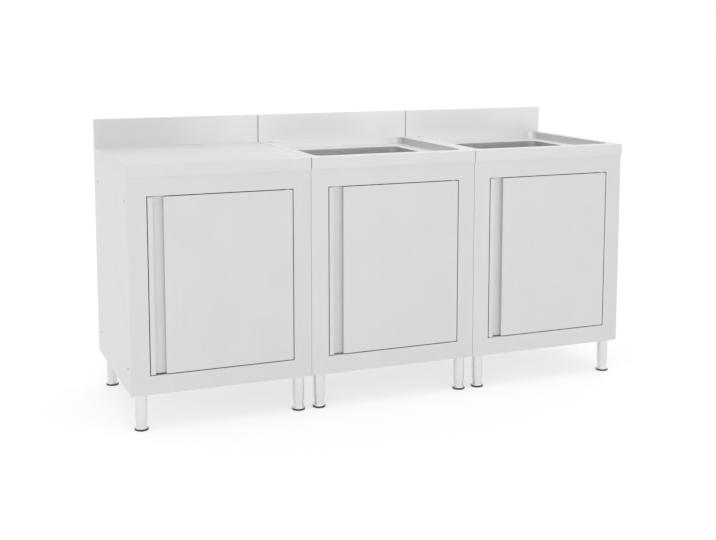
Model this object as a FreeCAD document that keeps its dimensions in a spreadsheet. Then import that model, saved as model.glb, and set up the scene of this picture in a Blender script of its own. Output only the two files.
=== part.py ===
"""Three stainless steel kitchen cabinets in a row: a work table and two sink cabinets.

Frame: millimetres, +X right along the row, +Y to the wall, +Z up. The origin is on the floor under
the middle of the row, half way between the worktops' front edge and the wall.
"""
import FreeCAD, Part
import math
import os
import re

import Sketcher

UNITS = ("left", "middle", "right")
SINK_UNITS = ("middle", "right")
NEAR = 0.01  # how close two places are to count as the same one

# Driving sizes. Every one can be changed by itself.
SIZES = {
    # The row and its worktops
    "unit_width": 599.0,
    "seam_gap": 1.0,
    "worktop_depth": 600.0,
    "worktop_level": 850.0,
    "worktop_sheet": 1.2,
    "apron_height": 40.0,
    "apron_hem": 12.0,
    "splash_height": 100.0,
    "splash_depth": 18.0,
    "bend_radius": 2.0,
    "front_overhang": 8.0,
    # Carcass
    "leg_length": 120.0,
    "panel_sheet": 1.0,
    "stile_width": 60.0,
    "rail_height": 60.0,
    "frame_side_return": 55.0,
    "rail_return": 22.0,
    "doorway_return": 36.0,
    "back_return": 80.0,
    "side_flange": 20.0,
    "base_rim": 18.0,
    "pipe_hole_wide": 150.0,
    "pipe_hole_high": 100.0,
    "pipe_hole_level": 300.0,
    # Sinks
    "recess_side_margin": 30.0,
    "recess_front_margin": 38.0,
    "recess_back_margin": 14.0,
    "recess_depth": 24.0,
    "recess_radius": 30.0,
    "bowl_width": 400.0,
    "bowl_length": 400.0,
    "bowl_depth": 250.0,
    "bowl_front_rim": 20.0,
    "bowl_radius": 25.0,
    "bowl_floor_radius": 18.0,
    "bowl_sheet": 1.0,
    "bowl_flange": 8.0,
    # Basket waste
    "waste_radius": 41.0,
    "waste_wall": 1.6,
    "waste_flange_wide": 15.0,
    "waste_flange_height": 2.0,
    "waste_flange_bevel": 2.0,
    "waste_ledge_drop": 4.0,
    "waste_ledge_wide": 2.0,
    "tail_radius": 23.9,
    "tail_wall": 3.4,
    "tail_length": 34.0,
    "waste_hole_gap": 1.0,
    "gasket_height": 3.0,
    "gasket_wide": 12.0,
    "waste_nut_height": 10.0,
    "waste_nut_wall": 11.0,
    "strainer_sheet": 1.2,
    "strainer_depth": 30.0,
    "strainer_gap": 0.4,
    "strainer_floor_gap": 10.4,
    "strainer_hole_radius": 3.0,
    "strainer_hole_ring": 24.0,
    "strainer_hole_count": 10.0,
    "strainer_knob_radius": 6.0,
    "strainer_knob_neck": 3.0,
    "strainer_knob_height": 22.0,
    "strainer_knob_cap": 4.0,
    "strainer_knob_taper": 2.0,
    # Doors
    "door_gap": 3.0,
    "door_depth": 18.0,
    "lip_width": 16.0,
    "lip_thickness": 3.0,
    "groove_width": 34.0,
    "groove_liner_gap": 2.0,
    "liner_field_margin": 40.0,
    "liner_groove_gap": 23.0,
    "liner_bush_gap": 19.0,
    "liner_field_depth": 8.0,
    "hinge_pin_radius": 4.0,
    "hinge_fit": 0.05,
    "hinge_edge_gap": 9.0,
    "hinge_pin_reach": 12.0,
    "hinge_head_wide": 2.5,
    "hinge_head_height": 2.0,
    "bush_wall": 1.95,
    "bush_end_gap": 2.0,
    "bush_flange_wide": 1.6,
    "bush_flange_height": 1.0,
    "bracket_left": 22.0,
    "bracket_right": 15.0,
    "bracket_deep": 30.0,
    "bracket_face_gap": 1.0,
    "bracket_sheet": 3.0,
    "strike_wide": 50.0,
    "strike_high": 16.0,
    "strike_sheet": 1.5,
    "strike_inset": 26.0,
    "strike_drop": 4.0,
    "catch_wide": 40.0,
    "catch_high": 22.0,
    "catch_deep": 16.0,
    "catch_gap": 0.3,
    "catch_pole_sheet": 1.6,
    "catch_pole_proud": 0.8,
    "catch_pole_inset": 2.0,
    "catch_pole_level": 3.0,
    "catch_pole_pitch": 8.0,
    # Shelf and stiffeners
    "shelf_level": 460.0,
    "shelf_edge": 25.0,
    "shelf_side_gap": 0.5,
    "shelf_front_gap": 7.0,
    "shelf_back_gap": 26.0,
    "shelf_pin_radius": 4.0,
    "shelf_pin_length": 14.0,
    "shelf_pin_inset": 30.0,
    "shelf_pin_collar": 7.0,
    "shelf_pin_collar_wide": 3.0,
    "channel_foot": 15.0,
    "channel_crown": 30.0,
    "channel_height": 24.0,
    "channel_first": 90.0,
    "channel_pitch": 190.0,
    "channel_end_gap": 1.0,
    # Legs and adjustable feet
    "leg_plate_radius": 31.0,
    "leg_plate_height": 3.0,
    "leg_side_margin": 5.0,
    "leg_front_margin": 2.0,
    "leg_back_margin": 19.0,
    "leg_radius": 19.0,
    "leg_wall": 1.8,
    "leg_tip_wall": 0.7,
    "leg_shoulder": 14.0,
    "foot_shows": 31.0,
    "foot_gap": 0.3,
    "foot_wall": 1.5,
    "foot_hidden": 29.0,
    "foot_flare": 3.6,
    "foot_flare_height": 9.0,
    "foot_base_rim": 1.5,
    "foot_base_height": 6.0,
    "foot_stem_radius": 6.0,
    "foot_lift": 12.0,
    "foot_stem_gap": 1.0,
    "insert_gap": 2.0,
    "insert_height": 14.0,
    # Screws and bolts
    "screw_front_edge": 13.0,
    "screw_back_edge": 10.0,
    "screw_low": 80.0,
    "screw_high": 75.0,
    "screw_radius": 2.5,
    "screw_length": 9.0,
    "screw_head_radius": 4.5,
    "screw_head_height": 2.2,
    "screw_head_rim": 0.8,
    "screw_head_bevel": 1.6,
    "screw_hole_gap": 0.2,
    "bolt_head_height": 3.0,
    "bolt_tail": 1.5,
    "bolt_nut_radius": 4.6,
    "bolt_nut_height": 4.0,
    # Workshop details
    "thread_fit": 0.05,
    "chamfer": 1.0,
    "cut_over": 1.0,
}

# Worked-out sizes and places, as formulas over the driving sizes.
DERIVED = {
    "unit_pitch": "unit_width + seam_gap",
    "row_left": "-(3 * unit_width + 2 * seam_gap) / 2",
    "worktop_front": "-worktop_depth / 2",
    "body_front": "worktop_front + front_overhang",
    "body_depth": "worktop_depth - front_overhang",
    "body_top": "worktop_level - apron_height",
    "body_height": "body_top - leg_length",
    "side_length": "body_depth - 2 * panel_sheet",
    "opening_wide": "unit_width - 2 * stile_width",
    "opening_high": "body_height - 2 * rail_height",
    "recess_floor": "worktop_level - recess_depth",
    "recess_back": "worktop_depth - splash_depth - recess_back_margin",
    "bowl_left": "(unit_width - bowl_width) / 2",
    "bowl_front_margin": "recess_front_margin + bowl_front_rim",
    "bowl_back": "bowl_front_margin + bowl_length",
    "bowl_floor": "recess_floor - bowl_depth",
    "bowl_shell": "bowl_depth - worktop_sheet + bowl_sheet",
    "bowl_outer_width": "bowl_width + 2 * bowl_sheet",
    "bowl_outer_length": "bowl_length + 2 * bowl_sheet",
    "waste_x": "unit_width / 2",
    "waste_y": "worktop_front + bowl_front_margin + bowl_length / 2",
    "waste_bore": "waste_radius - waste_wall",
    "ledge_radius": "waste_bore - waste_ledge_wide",
    "waste_hole_radius": "waste_radius + waste_hole_gap",
    "waste_cup_depth": "waste_ledge_drop + strainer_depth + strainer_floor_gap + waste_wall",
    "door_left": "stile_width + door_gap",
    "door_bottom": "leg_length + rail_height + door_gap",
    "door_wide": "opening_wide - 2 * door_gap",
    "door_high": "opening_high - 2 * door_gap",
    "skin_depth": "door_depth - panel_sheet",
    "groove_depth": "door_depth - 2 * panel_sheet - groove_liner_gap",
    "groove_right": "lip_width + groove_width",
    "bush_bore": "hinge_pin_radius + hinge_fit",
    "bush_radius": "bush_bore + bush_wall",
    "bush_height": "hinge_pin_reach + bush_end_gap",
    "hinge_inset": "bush_radius + hinge_edge_gap",
    "hinge_setback": "door_depth / 2",
    "field_left": "groove_right + panel_sheet + liner_groove_gap",
    "field_right": "door_wide - hinge_inset - bush_radius - liner_bush_gap",
    "field_high": "door_high - 2 * liner_field_margin",
    "hinge_x": "stile_width + opening_wide - door_gap - hinge_inset",
    "hinge_y": "body_front + hinge_setback",
    "door_hinge_x": "door_wide - hinge_inset",
    "opening_top": "leg_length + rail_height + opening_high",
    "opening_bottom": "leg_length + rail_height",
    "bracket_front": "hinge_setback - panel_sheet - bracket_face_gap",
    "pin_length": "bracket_sheet + panel_sheet + door_gap + hinge_pin_reach",
    "leg_side_inset": "leg_plate_radius + leg_side_margin",
    "leg_front_inset": "leg_plate_radius + leg_front_margin",
    "leg_back_inset": "leg_plate_radius + leg_back_margin",
    "leg_inner": "leg_radius - leg_wall",
    "leg_tip_radius": "leg_inner + leg_tip_wall",
    "plate_under": "leg_length - leg_plate_height",
    "foot_radius": "leg_inner - foot_gap",
    "foot_bore": "foot_radius - foot_wall",
    "foot_flare_radius": "foot_radius + foot_flare",
    "foot_base_radius": "foot_flare_radius + foot_base_rim",
    "foot_top": "foot_shows + foot_hidden",
    "foot_stem_top": "plate_under - foot_lift - foot_stem_gap",
    "insert_level": "foot_top + foot_lift + insert_gap",
    "front_screw": "frame_side_return - screw_front_edge",
    "back_screw": "body_depth - back_return + screw_back_edge",
    "top_screw": "body_height - screw_high",
    "seam_stack": "4 * panel_sheet + seam_gap",
    "shelf_wide": "unit_width - 4 * panel_sheet - 2 * shelf_side_gap",
    "shelf_front": "frame_side_return + shelf_front_gap",
    "shelf_deep": "body_depth - shelf_front - shelf_back_gap",
}

doc = FreeCAD.newDocument("kitchen_sink_row")
sheet = doc.addObject("Spreadsheet::Sheet", "Sizes")


def fill_sheet():
    """One row per size: its name, its number or formula, and the name again as the cell's alias."""
    cells = {name: str(value) for name, value in SIZES.items()}
    cells.update({name: "=" + text for name, text in DERIVED.items()})
    for row, (name, text) in enumerate(cells.items(), 1):
        sheet.set(f"A{row}", name)
        sheet.set(f"B{row}", text)
        sheet.setAlias(f"B{row}", name)
    doc.recompute()


def formula(text):
    """Every word in a formula is a size's name, which belongs to the sheet."""
    return re.sub(r"[a-z][a-z_]+", lambda word: "Sizes." + word.group(), str(text))


def size(name):
    return float(getattr(sheet, name))


def bind(thing, **properties):
    for name, text in properties.items():
        thing.setExpression(name, formula(text))
    return thing


def place(thing, x=0, y=0, z=0, axis=None, turn=0):
    """Turns the object about an axis, then binds its place to formulas."""
    if axis:
        thing.Placement = FreeCAD.Placement(FreeCAD.Vector(), FreeCAD.Rotation(FreeCAD.Vector(*axis), turn))
    for letter, text in zip("xyz", (x, y, z)):
        thing.setExpression("Placement.Base." + letter, formula(text))
    return thing


# Part primitives and booleans

def box(name, x, y, z, wide, deep, high):
    block = doc.addObject("Part::Box", name)
    bind(block, Length=wide, Width=deep, Height=high)
    return place(block, x, y, z)


def rod(name, x, y, z, radius, length, axis=None, turn=0):
    """A cylinder that rises from its place, or is turned about an axis first."""
    cylinder = doc.addObject("Part::Cylinder", name)
    bind(cylinder, Radius=radius, Height=length)
    return place(cylinder, x, y, z, axis, turn)


def fuse(name, shapes):
    joined = doc.addObject("Part::MultiFuse", name)
    joined.Shapes = shapes
    joined.Refine = True
    return joined


def cut(name, base, tools):
    tool = tools[0] if len(tools) == 1 else fuse(name + "_tools", tools)
    result = doc.addObject("Part::Cut", name)
    result.Base = base
    result.Tool = tool
    return result


def group(name, copies):
    """Several equal loose pieces as one object."""
    pieces = doc.addObject("Part::Compound", name)
    pieces.Links = copies
    pieces.Label = name
    return pieces


def copy_of(master, name, x, y, z, axis=None, turn=0):
    link = doc.addObject("App::Link", name)
    link.LinkedObject = master
    return place(link, x, y, z, axis, turn)


# PartDesign bodies, sketches and features

def new_body(name):
    return doc.addObject("PartDesign::Body", name)


def attach(body, name, plane, level):
    sketch = body.newObject("Sketcher::SketchObject", name)
    support = next(datum for datum in body.Origin.OriginFeatures if datum.Role == plane)
    sketch.AttachmentSupport = [(support, "")]
    sketch.MapMode = "FlatFace"
    sketch.setExpression("AttachmentOffset.Base.z", formula(level))
    return sketch


def outline(body, name, corners, plane="XY_Plane", level=0):
    """A closed outline of straight lines. Each corner is a pair of formulas in the sketch's own axes."""
    sketch = attach(body, name, plane, level)
    count = len(corners)
    start = [
        FreeCAD.Vector(math.cos(2 * math.pi * i / count), math.sin(2 * math.pi * i / count), 0)
        for i in range(count)
    ]
    for i in range(count):
        sketch.addGeometry(Part.LineSegment(start[i], start[(i + 1) % count]), False)
    for i in range(count):
        sketch.addConstraint(Sketcher.Constraint("Coincident", i, 2, (i + 1) % count, 1))
    for i, corner in enumerate(corners):
        for letter, text in zip("XY", corner):
            index = sketch.addConstraint(Sketcher.Constraint("Distance" + letter, -1, 1, i, 1, 1.0))
            label = f"{letter.lower()}_{i}"
            sketch.renameConstraint(index, label)
            sketch.setExpression("Constraints." + label, formula(text))
    return sketch


def rectangle(body, name, x_low, y_low, x_high, y_high, level=0):
    corners = [(x_low, y_low), (x_high, y_low), (x_high, y_high), (x_low, y_high)]
    return outline(body, name, corners, level=level)


def circle(body, name, x, y, radius, level=0):
    sketch = attach(body, name, "XY_Plane", level)
    sketch.addGeometry(Part.Circle(FreeCAD.Vector(1, 1, 0), FreeCAD.Vector(0, 0, 1), 1), False)
    for label, kind, text in (("x_0", "DistanceX", x), ("y_0", "DistanceY", y)):
        index = sketch.addConstraint(Sketcher.Constraint(kind, -1, 1, 0, 3, 1.0))
        sketch.renameConstraint(index, label)
        sketch.setExpression("Constraints." + label, formula(text))
    index = sketch.addConstraint(Sketcher.Constraint("Radius", 0, 1.0))
    sketch.renameConstraint(index, "radius")
    sketch.setExpression("Constraints.radius", formula(radius))
    return sketch


def pad(body, sketch, length):
    feature = body.newObject("PartDesign::Pad", sketch.Name + "_pad")
    feature.Profile = sketch
    return bind(feature, Length=length)


def pocket(body, sketch, length, upward=False):
    feature = body.newObject("PartDesign::Pocket", sketch.Name + "_pocket")
    feature.Profile = sketch
    feature.Reversed = upward
    return bind(feature, Length=length)


def revolve(body, sketch):
    """A full turn about the sketch's vertical axis."""
    feature = body.newObject("PartDesign::Revolution", sketch.Name + "_turned")
    feature.Profile = sketch
    feature.ReferenceAxis = (sketch, ["V_Axis"])
    feature.Angle = 360
    return feature


def turned(name, corners):
    """A body of revolution about Z from pairs of radius and height."""
    body = new_body(name)
    revolve(body, outline(body, name + "_profile", corners, plane="XZ_Plane"))
    return body


def round_edges(body, feature, name, radius, chosen):
    """Fillets the edges of a feature for which chosen(edge) is true."""
    doc.recompute()
    edges = [f"Edge{i}" for i, edge in enumerate(feature.Shape.Edges, 1) if chosen(edge)]
    fillet = body.newObject("PartDesign::Fillet", name)
    fillet.Base = (feature, edges)
    return bind(fillet, Radius=radius)


def is_upright(edge):
    bounds = edge.BoundBox
    return bounds.XLength < NEAR and bounds.YLength < NEAR


def upright_over(sketch):
    """Chooses the upright edges that stand over a sketch's corners."""
    def chosen(edge):
        spot = edge.CenterOfMass
        return is_upright(edge) and any(
            abs(spot.x - corner.X) < NEAR and abs(spot.y - corner.Y) < NEAR
            for corner in sketch.Shape.Vertexes)
    return chosen


def at_level(z):
    """Chooses the edges that lie wholly at one height."""
    def chosen(edge):
        bounds = edge.BoundBox
        return abs(bounds.ZMin - z) < NEAR and abs(bounds.ZMax - z) < NEAR
    return chosen


def unit_x(index):
    return f"row_left + {index} * unit_pitch"


PARTS = []


def finish(name, thing):
    """Names a finished sub-part and lists it for export."""
    thing.Label = name
    PARTS.append(thing)
    return thing


# Worktops

def worktop(unit, index):
    """One folded sheet: top, aprons with a hem, and a boxed splashback. A sink top has a pressed recess."""
    body = new_body(unit + "_worktop_body")
    slab = rectangle(body, unit + "_top_outline", 0, 0, "unit_width", "worktop_depth")
    pad(body, slab, "apron_height")
    splash = rectangle(body, unit + "_splash_outline", 0, "worktop_depth - splash_depth", "unit_width",
                       "worktop_depth", level="apron_height - worktop_sheet")
    raised = pad(body, splash, "splash_height + worktop_sheet")
    top, high = size("apron_height"), size("apron_height") + size("splash_height")
    back, wide = size("worktop_depth"), size("unit_width")
    splash_face = back - size("splash_depth")

    def bend(edge):
        """The top's front and side edges, the splashback's top edges and the front corners."""
        low, spot = edge.BoundBox, edge.CenterOfMass
        flat = abs(low.ZMax - low.ZMin) < NEAR
        on_top = flat and abs(spot.z - top) < NEAR and spot.y < splash_face - NEAR
        on_splash = flat and abs(spot.z - high) < NEAR and spot.y < back - NEAR
        corner = is_upright(edge) and spot.y < NEAR
        side = spot.x < NEAR or spot.x > wide - NEAR
        splash_corner = is_upright(edge) and abs(spot.y - splash_face) < NEAR and spot.z > top and side
        return on_top or on_splash or corner or splash_corner

    round_edges(body, raised, unit + "_bends", "bend_radius", bend)
    inner = rectangle(body, unit + "_under_outline", "worktop_sheet", "worktop_sheet",
                      "unit_width - worktop_sheet", "worktop_depth - worktop_sheet", level="worktop_sheet")
    pocket(body, inner, "apron_height - 2 * worktop_sheet", upward=True)
    mouth = rectangle(body, unit + "_mouth_outline", "apron_hem", "apron_hem", "unit_width - apron_hem",
                      "worktop_depth - apron_hem")
    pocket(body, mouth, "2 * worktop_sheet", upward=True)
    hollow = rectangle(body, unit + "_splash_hollow", "worktop_sheet",
                       "worktop_depth - splash_depth + worktop_sheet", "unit_width - worktop_sheet",
                       "worktop_depth - worktop_sheet", level="apron_height - 2 * worktop_sheet")
    last = pocket(body, hollow, "splash_height + worktop_sheet", upward=True)
    if unit in SINK_UNITS:
        last = sink_recess(body, unit)
    body.Tip = last
    finish(unit + "_worktop", place(body, unit_x(index), "worktop_front", "body_top"))


def sink_recess(body, unit):
    """The dished recess round the bowl, with rounded corners and the bowl's cut-out."""
    tray = rectangle(body, unit + "_tray_outline", "recess_side_margin - worktop_sheet",
                     "recess_front_margin - worktop_sheet",
                     "unit_width - recess_side_margin + worktop_sheet", "recess_back + worktop_sheet",
                     level="apron_height - recess_depth - worktop_sheet")
    pad(body, tray, "recess_depth")
    dish = rectangle(body, unit + "_dish_outline", "recess_side_margin", "recess_front_margin",
                     "unit_width - recess_side_margin", "recess_back", level="apron_height")
    dish_pocket = pocket(body, dish, "recess_depth")
    rounded = round_edges(body, dish_pocket, unit + "_dish_corners", "recess_radius", upright_over(dish))
    round_edges(body, rounded, unit + "_tray_corners", "recess_radius + worktop_sheet", upright_over(tray))
    hole = rectangle(body, unit + "_bowl_cutout", "bowl_left", "bowl_front_margin",
                     "bowl_left + bowl_width", "bowl_back", level="apron_height - recess_depth")
    hole_pocket = pocket(body, hole, "2 * worktop_sheet")
    return round_edges(body, hole_pocket, unit + "_cutout_corners", "bowl_radius",
                       upright_over(hole))


def worktop_stiffeners():
    """Three top-hat channels under the flat worktop."""
    body = new_body("stiffener_body")
    step, crown = "channel_foot - panel_sheet", "channel_foot + channel_crown"
    flange = "channel_height - panel_sheet"
    corners = [
        (0, flange), (step, flange), (step, 0), (f"{crown} + panel_sheet", 0),
        (f"{crown} + panel_sheet", flange), (f"{crown} + channel_foot", flange),
        (f"{crown} + channel_foot", "channel_height"), (crown, "channel_height"), (crown, "panel_sheet"),
        ("channel_foot", "panel_sheet"), ("channel_foot", "channel_height"), (0, "channel_height"),
    ]
    profile = outline(body, "stiffener_profile", corners, plane="YZ_Plane")
    pad(body, profile, "unit_width - 2 * apron_hem - 2 * channel_end_gap")
    copies = [
        copy_of(body, f"stiffener_{number}", "row_left + apron_hem + channel_end_gap",
                f"worktop_front + channel_first + {number} * channel_pitch",
                "worktop_level - worktop_sheet - channel_height")
        for number in range(3)
    ]
    finish("worktop_stiffeners", group("worktop_stiffeners", copies))


# Sinks

def sink_bowl(unit, index):
    """A deep pressed bowl with a welding flange under the recess and a round waste hole."""
    body = new_body(unit + "_bowl_body")
    shell = rectangle(body, unit + "_bowl_outline", 0, 0, "bowl_outer_width", "bowl_outer_length")
    pad(body, shell, "bowl_shell")
    flange = rectangle(body, unit + "_bowl_flange", "-bowl_flange", "-bowl_flange",
                       "bowl_outer_width + bowl_flange", "bowl_outer_length + bowl_flange",
                       level="bowl_shell - bowl_sheet")
    flange_pad = pad(body, flange, "bowl_sheet")
    round_edges(body, flange_pad, unit + "_flange_corners", "bowl_radius", upright_over(flange))
    inner = rectangle(body, unit + "_bowl_inner", "bowl_sheet", "bowl_sheet", "bowl_sheet + bowl_width",
                      "bowl_sheet + bowl_length", level="bowl_shell")
    hollow = pocket(body, inner, "bowl_shell - bowl_sheet")
    hollow = round_edges(body, hollow, unit + "_inner_corners", "bowl_radius", upright_over(inner))
    hollow = round_edges(body, hollow, unit + "_outer_corners", "bowl_radius + bowl_sheet",
                         upright_over(shell))
    hollow = round_edges(body, hollow, unit + "_inner_floor", "bowl_floor_radius",
                         at_level(size("bowl_sheet")))
    round_edges(body, hollow, unit + "_outer_floor", "bowl_floor_radius + bowl_sheet", at_level(0))
    hole = circle(body, unit + "_waste_hole", "bowl_outer_width / 2", "bowl_outer_length / 2",
                  "waste_hole_radius", level="2 * bowl_sheet")
    body.Tip = pocket(body, hole, "3 * bowl_sheet")
    finish(unit + "_sink_bowl", place(body, f"{unit_x(index)} + bowl_left - bowl_sheet",
                                      "worktop_front + bowl_front_margin - bowl_sheet",
                                      "bowl_floor - bowl_sheet"))


def waste_body():
    """The basket waste: a flange on the bowl's floor, a cup with a ledge, and a threaded tail."""
    tail_bore = "tail_radius - tail_wall"
    cup_floor = "-waste_cup_depth"
    flange = "waste_radius + waste_flange_wide"
    return turned("waste_master", [
        ("waste_bore", "waste_flange_height"), (f"{flange} - waste_flange_bevel", "waste_flange_height"),
        (flange, 0), ("waste_radius", 0), ("waste_radius", cup_floor), ("tail_radius", cup_floor),
        ("tail_radius", f"{cup_floor} - tail_length"), (tail_bore, f"{cup_floor} - tail_length"),
        (tail_bore, f"{cup_floor} + waste_wall"), ("ledge_radius", f"{cup_floor} + waste_wall"),
        ("ledge_radius", "-waste_ledge_drop"), ("waste_bore", "-waste_ledge_drop"),
    ])


def strainer_body():
    """The lift-out basket: a rim, a perforated cup and a knob to lift it by."""
    rim = "waste_bore - strainer_gap"
    cup = "ledge_radius - strainer_gap"
    top = "-waste_ledge_drop + strainer_sheet"
    under = "-waste_ledge_drop"
    low = "-waste_ledge_drop - strainer_depth"
    inside = f"{cup} - strainer_sheet"
    floor = f"{low} + strainer_sheet"
    knob_top = f"{floor} + strainer_knob_height"
    knob_low = f"{knob_top} - strainer_knob_cap"
    body = new_body("strainer_master")
    profile = outline(body, "strainer_profile", [
        (0, low), (cup, low), (cup, under), (rim, under), (rim, top), (inside, top), (inside, floor),
        ("strainer_knob_neck", floor), ("strainer_knob_neck", f"{knob_low} - strainer_knob_taper"),
        ("strainer_knob_radius", knob_low), ("strainer_knob_radius", f"{knob_top} - chamfer"),
        ("strainer_knob_radius - chamfer", knob_top), (0, knob_top),
    ], plane="XZ_Plane")
    revolve(body, profile)
    doc.recompute()
    hole = circle(body, "strainer_hole", "strainer_hole_ring", 0, "strainer_hole_radius",
                  level=f"{floor} + cut_over")
    first = pocket(body, hole, "strainer_sheet + 2 * cut_over")
    ring = body.newObject("PartDesign::PolarPattern", "strainer_holes")
    ring.Originals = [first]
    ring.Axis = (profile, ["V_Axis"])
    ring.Angle = 360
    bind(ring, Occurrences="strainer_hole_count")
    body.Tip = ring
    return body


def nut_body(name, sides, radius, height, thread):
    """A nut with flat sides, bored to run on a thread of the given radius."""
    block = doc.addObject("Part::Prism", name + "_block")
    block.Polygon = sides
    bind(block, Circumradius=radius, Height=height)
    bore = rod(name + "_bore", 0, 0, "-cut_over", f"{thread} + thread_fit", f"{height} + 2 * cut_over")
    return cut(name, block, [bore])


def waste_sets():
    """Per sink a waste body and its strainer; the gaskets and the nuts under the bowls."""
    waste, strainer = waste_body(), strainer_body()
    hole, edge = "waste_hole_radius", "waste_hole_radius + gasket_wide"
    gasket = turned("gasket_master", [(hole, 0), (edge, 0), (edge, "gasket_height"), (hole, "gasket_height")])
    nut = nut_body("waste_nut", 8, "waste_radius + waste_nut_wall", "waste_nut_height", "waste_radius")
    gasket_level = "bowl_floor - bowl_sheet - gasket_height"
    gaskets, nuts = [], []
    for index, unit in enumerate(UNITS):
        if unit not in SINK_UNITS:
            continue
        x = f"{unit_x(index)} + waste_x"
        finish(unit + "_basket_waste", group(unit + "_basket_waste", [
            copy_of(waste, unit + "_waste_copy", x, "waste_y", "bowl_floor")]))
        finish(unit + "_strainer", group(unit + "_strainer", [
            copy_of(strainer, unit + "_strainer_copy", x, "waste_y", "bowl_floor")]))
        gaskets.append(copy_of(gasket, unit + "_gasket", x, "waste_y", gasket_level))
        nuts.append(copy_of(nut, unit + "_waste_nut", x, "waste_y", f"{gasket_level} - waste_nut_height"))
    finish("waste_gaskets", group("waste_gaskets", gaskets))
    finish("waste_nuts", group("waste_nuts", nuts))


# Carcass. Each piece is made in its own cabinet's corner and then placed.

def side_holes(name, x):
    """Four short bores through a cabinet's side for its screws or bolts, across the sheets at x."""
    return [
        rod(f"{name}_bore_{row}_{column}", f"{x} - 2 * panel_sheet", y, z, "screw_radius + screw_hole_gap",
            "6 * panel_sheet", axis=(0, 1, 0), turn=90)
        for row, z in enumerate(("screw_low", "top_screw"))
        for column, y in enumerate(("front_screw", "back_screw"))
    ]


def both_sides_holes(name):
    return side_holes(name + "_left", "panel_sheet") + side_holes(name + "_right", "unit_width - panel_sheet")


def face_frame(unit, index):
    """The folded front: a flat face round the doorway, with returns round the outside and the doorway."""
    name = unit + "_face_frame"
    doorway = box(name + "_doorway", "stile_width", "-cut_over", "rail_height", "opening_wide",
                  "doorway_return + 2 * cut_over", "opening_high")
    plate = box(name + "_plate", 0, 0, 0, "unit_width", "panel_sheet", "body_height")
    collar = box(name + "_collar", "stile_width - panel_sheet", 0, "rail_height - panel_sheet",
                 "opening_wide + 2 * panel_sheet", "doorway_return", "opening_high + 2 * panel_sheet")
    front = cut(name + "_front", fuse(name + "_stamping", [plate, collar]), [doorway])
    returns = [
        box(f"{name}_side_{number}", x, 0, "panel_sheet", "panel_sheet", "frame_side_return",
            "body_height - 2 * panel_sheet")
        for number, x in enumerate(("panel_sheet", "unit_width - 2 * panel_sheet"))
    ]
    returns += [
        box(f"{name}_rail_{number}", "panel_sheet", 0, z, "unit_width - 2 * panel_sheet", "rail_return",
            "panel_sheet")
        for number, z in enumerate((0, "body_height - panel_sheet"))
    ]
    joined = fuse(name + "_joined", [front] + returns)
    holes = both_sides_holes(name)
    holes += [
        rod(f"{name}_pin_hole_{number}", "hinge_x", "hinge_setback", z, "bush_bore", "3 * panel_sheet")
        for number, z in enumerate(("rail_height - 2 * panel_sheet",
                                    "rail_height + opening_high - panel_sheet"))
    ]
    finish(name, place(cut(name, joined, holes), unit_x(index), "body_front", "leg_length"))


def side_panel(unit, index, hand):
    """A flat side with a flange turned in along its top and its bottom."""
    name = f"{unit}_{hand}_side"
    left = hand == "left"
    plate_x = "0" if left else "unit_width - panel_sheet"
    flange_x = "0" if left else "unit_width - side_flange"
    plate = box(name + "_plate", plate_x, "panel_sheet", 0, "panel_sheet", "side_length", "body_height")
    flanges = [
        box(f"{name}_flange_{number}", flange_x, "rail_return", z, "side_flange",
            "body_depth - 2 * rail_return", "panel_sheet")
        for number, z in enumerate((0, "body_height - panel_sheet"))
    ]
    joined = fuse(name + "_joined", [plate] + flanges)
    panel = cut(name, joined, side_holes(name, plate_x))
    finish(name, place(panel, unit_x(index), "body_front", "leg_length"))


def back_panel(unit, index):
    """The back sheet with deep side returns. Behind a sink it has a hole for the pipes."""
    name = unit + "_back_panel"
    sheets = [
        box(name + "_plate", 0, "body_depth - panel_sheet", 0, "unit_width", "panel_sheet", "body_height")
    ]
    sheets += [
        box(f"{name}_side_{number}", x, "body_depth - back_return", "panel_sheet", "panel_sheet",
            "back_return", "body_height - 2 * panel_sheet")
        for number, x in enumerate(("panel_sheet", "unit_width - 2 * panel_sheet"))
    ]
    sheets += [
        box(f"{name}_rail_{number}", "panel_sheet", "body_depth - rail_return", z,
            "unit_width - 2 * panel_sheet", "rail_return", "panel_sheet")
        for number, z in enumerate((0, "body_height - panel_sheet"))
    ]
    holes = both_sides_holes(name)
    if unit in SINK_UNITS:
        holes.append(box(name + "_pipe_hole", "(unit_width - pipe_hole_wide) / 2",
                         "body_depth - 2 * panel_sheet", "pipe_hole_level - leg_length", "pipe_hole_wide",
                         "3 * panel_sheet", "pipe_hole_high"))
    panel = cut(name, fuse(name + "_joined", sheets), holes)
    finish(name, place(panel, unit_x(index), "body_front", "leg_length"))


def base_panel(unit, index):
    """The cabinet's floor: a tray on the flanges, with a low rim turned up all round."""
    name = unit + "_base_panel"
    tray = box(name + "_block", "2 * panel_sheet", "panel_sheet", "panel_sheet",
               "unit_width - 4 * panel_sheet", "body_depth - 2 * panel_sheet", "base_rim")
    hollow = box(name + "_hollow", "3 * panel_sheet", "2 * panel_sheet", "2 * panel_sheet",
                 "unit_width - 6 * panel_sheet", "body_depth - 4 * panel_sheet", "base_rim")
    finish(name, place(cut(name, tray, [hollow]), unit_x(index), "body_front", "leg_length"))


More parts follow.
